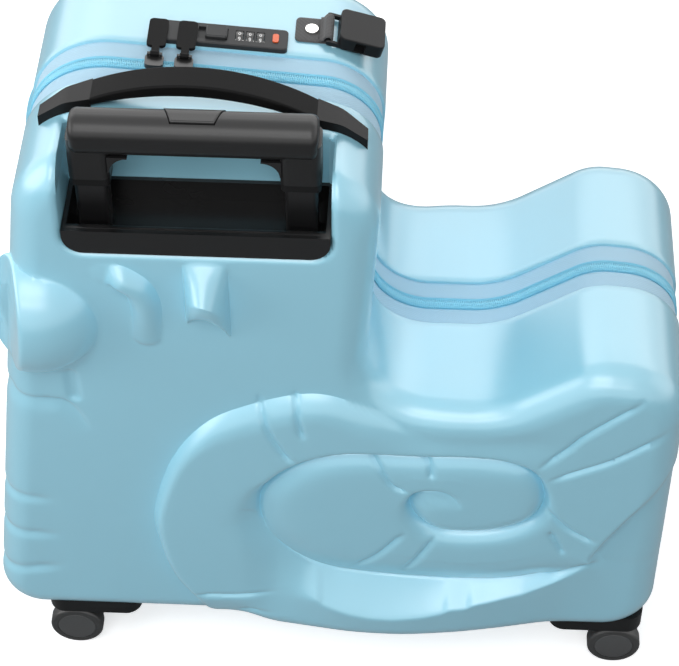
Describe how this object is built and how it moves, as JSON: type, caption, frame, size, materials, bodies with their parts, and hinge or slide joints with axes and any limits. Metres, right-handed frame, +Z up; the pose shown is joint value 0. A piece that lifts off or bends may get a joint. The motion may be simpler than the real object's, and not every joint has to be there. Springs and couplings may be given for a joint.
{
  "type": "ride on suitcase",
  "caption": "Child's ride-on suitcase: moulded half shells with saddle seat and spiral relief, zip, telescopic trolley, lock, carry handle and swivel casters.",
  "frame": {"origin": "on the floor under the centre of the object's box, between the casters", "axes": "+X towards the rear, face towards -X; -Y towards the trolley side; +Z up"},
  "size_m": [0.4877, 0.2479, 0.5288],
  "materials": {
    "shell_blue": "moulded gloss",
    "zip_tape": "woven tape",
    "zip_coil": "coil",
    "black_metal": "satin",
    "pull_black": "soft satin",
    "lock_plate": "satin",
    "lock_button": "satin",
    "dial": "satin",
    "indicator_orange": "gloss",
    "steel": "plated",
    "webbing": "woven",
    "grip_black": "satin",
    "tube_black": "black anodised",
    "handle_black": "soft satin",
    "black_plastic": "satin",
    "wheel_black": "tread",
    "hub_grey": "satin"
  },
  "bodies": {
    "near_half": {"near_shell": "shell_blue", "near_zip_tape": "zip_tape", "near_zip_coil": "zip_coil", "trolley_tray": "black_plastic", "trolley_feet": "black_plastic", "trolley_outer_tubes": "tube_black", "carry_handle_grip": "handle_black", "carry_handle_front_mount": "black_plastic", "carry_handle_rear_mount": "black_plastic", "carry_handle_screws": "steel", "caster_mount_front_near": "black_plastic", "caster_mount_rear_near": "black_plastic", "caster_screws_near": "steel"},
    "far_half": {"far_shell": "shell_blue", "far_zip_tape": "zip_tape", "far_zip_coil": "zip_coil", "zip_slider_front": "black_metal", "zip_slider_rear": "black_metal", "lock_housing": "lock_plate", "lock_dial_axle": "steel", "lock_indicator": "indicator_orange", "strap_tab": "webbing", "strap_rivet": "steel", "caster_mount_front_far": "black_plastic", "caster_mount_rear_far": "black_plastic", "caster_screws_far": "steel"},
    "front_zip_pull": {"zip_pull_front": "pull_black"},
    "rear_zip_pull": {"zip_pull_rear": "pull_black"},
    "lock_release": {"lock_button": "lock_button"},
    "dial_1": {"lock_dial_1": "dial"},
    "dial_2": {"lock_dial_2": "dial"},
    "dial_3": {"lock_dial_3": "dial"},
    "buckle": {"buckle_socket": "black_plastic"},
    "trolley_middle_stage": {"trolley_middle_tubes": "tube_black", "trolley_collars": "black_plastic"},
    "trolley_inner_stage": {"trolley_inner_tubes": "tube_black", "trolley_grip": "grip_black", "trolley_button_spring": "steel"},
    "trolley_release": {"trolley_button": "grip_black", "trolley_release_rods": "steel"},
    "front_near_fork": {"caster_fork_front_near": "black_plastic"},
    "front_near_wheels": {"caster_wheels_front_near": "wheel_black", "caster_axle_front_near": "hub_grey"},
    "rear_near_fork": {"caster_fork_rear_near": "black_plastic"},
    "rear_near_wheels": {"caster_wheels_rear_near": "wheel_black", "caster_axle_rear_near": "hub_grey"},
    "front_far_fork": {"caster_fork_front_far": "black_plastic"},
    "front_far_wheels": {"caster_wheels_front_far": "wheel_black", "caster_axle_front_far": "hub_grey"},
    "rear_far_fork": {"caster_fork_rear_far": "black_plastic"},
    "rear_far_wheels": {"caster_wheels_rear_far": "wheel_black", "caster_axle_rear_far": "hub_grey"}
  },
  "joints": [
    {"name": "lid_hinge", "type": "hinge", "parent": "near_half", "child": "far_half", "pos_m": [0, 0, 0.0479], "axis": [-1, 0, 0], "range_deg": [0, 90]},
    {"name": "trolley_middle_slide", "type": "slide", "parent": "near_half", "child": "trolley_middle_stage", "axis": [0, 0, 1], "range_m": [0, 0.17]},
    {"name": "trolley_inner_slide", "type": "slide", "parent": "trolley_middle_stage", "child": "trolley_inner_stage", "axis": [0, 0, 1], "range_m": [0, 0.17]},
    {"name": "trolley_button_press", "type": "slide", "parent": "trolley_inner_stage", "child": "trolley_release", "axis": [0, 0, -1], "range_m": [0, 0.004], "stiffness_N_per_m": 600, "deforming": ["trolley_button_spring"]},
    {"name": "front_pull_hinge", "type": "hinge", "parent": "far_half", "child": "front_zip_pull", "pos_m": [-0.11261, 0.0039, 0.5083], "axis": [0.997, 0, -0.078], "range_deg": [0, 100]},
    {"name": "rear_pull_hinge", "type": "hinge", "parent": "far_half", "child": "rear_zip_pull", "pos_m": [-0.09361, 0.0039, 0.50682], "axis": [0.997, 0, -0.078], "range_deg": [0, 100]},
    {"name": "lock_button_slide", "type": "slide", "parent": "far_half", "child": "lock_release", "axis": [-0.997, 0, 0.078], "range_m": [0, 0.0045], "stiffness_N_per_m": 400},
    {"name": "dial_1_spin", "type": "hinge", "parent": "far_half", "child": "dial_1", "pos_m": [-0.06065, 0.0308, 0.49782], "axis": [0.997, 0, -0.078], "continuous": true},
    {"name": "dial_2_spin", "type": "hinge", "parent": "far_half", "child": "dial_2", "pos_m": [-0.05387, 0.0308, 0.49729], "axis": [0.997, 0, -0.078], "continuous": true},
    {"name": "dial_3_spin", "type": "hinge", "parent": "far_half", "child": "dial_3", "pos_m": [-0.04709, 0.0308, 0.49676], "axis": [0.997, 0, -0.078], "continuous": true},
    {"name": "buckle_flip", "type": "hinge", "parent": "far_half", "child": "buckle", "pos_m": [-0.00295, 0.046, 0.49811], "axis": [0, -1, 0], "range_deg": [0, 100]},
    {"name": "front_near_swivel", "type": "hinge", "parent": "near_half", "child": "front_near_fork", "pos_m": [-0.175, -0.078, 0.02], "axis": [0, 0, 1], "continuous": true},
    {"name": "front_near_roll", "type": "hinge", "parent": "front_near_fork", "child": "front_near_wheels", "pos_m": [-0.191, -0.078, 0.02], "axis": [0, 1, 0], "continuous": true},
    {"name": "rear_near_swivel", "type": "hinge", "parent": "near_half", "child": "rear_near_fork", "pos_m": [0.203, -0.078, 0.02], "axis": [0, 0, 1], "continuous": true},
    {"name": "rear_near_roll", "type": "hinge", "parent": "rear_near_fork", "child": "rear_near_wheels", "pos_m": [0.219, -0.078, 0.02], "axis": [0, 1, 0], "continuous": true},
    {"name": "front_far_swivel", "type": "hinge", "parent": "far_half", "child": "front_far_fork", "pos_m": [-0.175, 0.078, 0.02], "axis": [0, 0, 1], "continuous": true},
    {"name": "front_far_roll", "type": "hinge", "parent": "front_far_fork", "child": "front_far_wheels", "pos_m": [-0.191, 0.078, 0.02], "axis": [0, 1, 0], "continuous": true},
    {"name": "rear_far_swivel", "type": "hinge", "parent": "far_half", "child": "rear_far_fork", "pos_m": [0.203, 0.078, 0.02], "axis": [0, 0, 1], "continuous": true},
    {"name": "rear_far_roll", "type": "hinge", "parent": "rear_far_fork", "child": "rear_far_wheels", "pos_m": [0.219, 0.078, 0.02], "axis": [0, 1, 0], "continuous": true}
  ]
}
